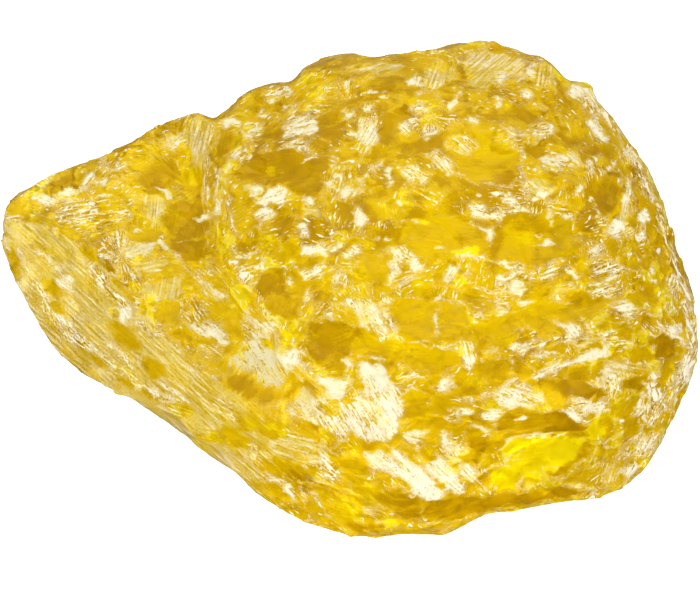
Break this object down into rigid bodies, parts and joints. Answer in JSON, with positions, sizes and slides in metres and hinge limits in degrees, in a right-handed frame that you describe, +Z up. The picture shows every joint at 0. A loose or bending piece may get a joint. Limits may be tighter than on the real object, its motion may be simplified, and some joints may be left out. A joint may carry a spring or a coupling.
{
  "type": "raw topaz",
  "caption": "Rough clear golden topaz, broken all over in flat faces, ledges and shell-shaped hollows, lying on a flat break. A mineral specimen for display.",
  "frame": {"origin": "middle of the bounding box, on the floor that the stone lies on", "axes": "+X along the stone's length, from its flat wing to its thick end; +Z up; -Y towards the eye, which looks down on the broken front"},
  "size_m": [0.045, 0.0306, 0.0266],
  "materials": {
    "topaz": "clear golden crystal with glossy, finely rippled breaks"
  },
  "bodies": {
    "root": {"topaz_stone": "topaz"}
  },
  "joints": []
}
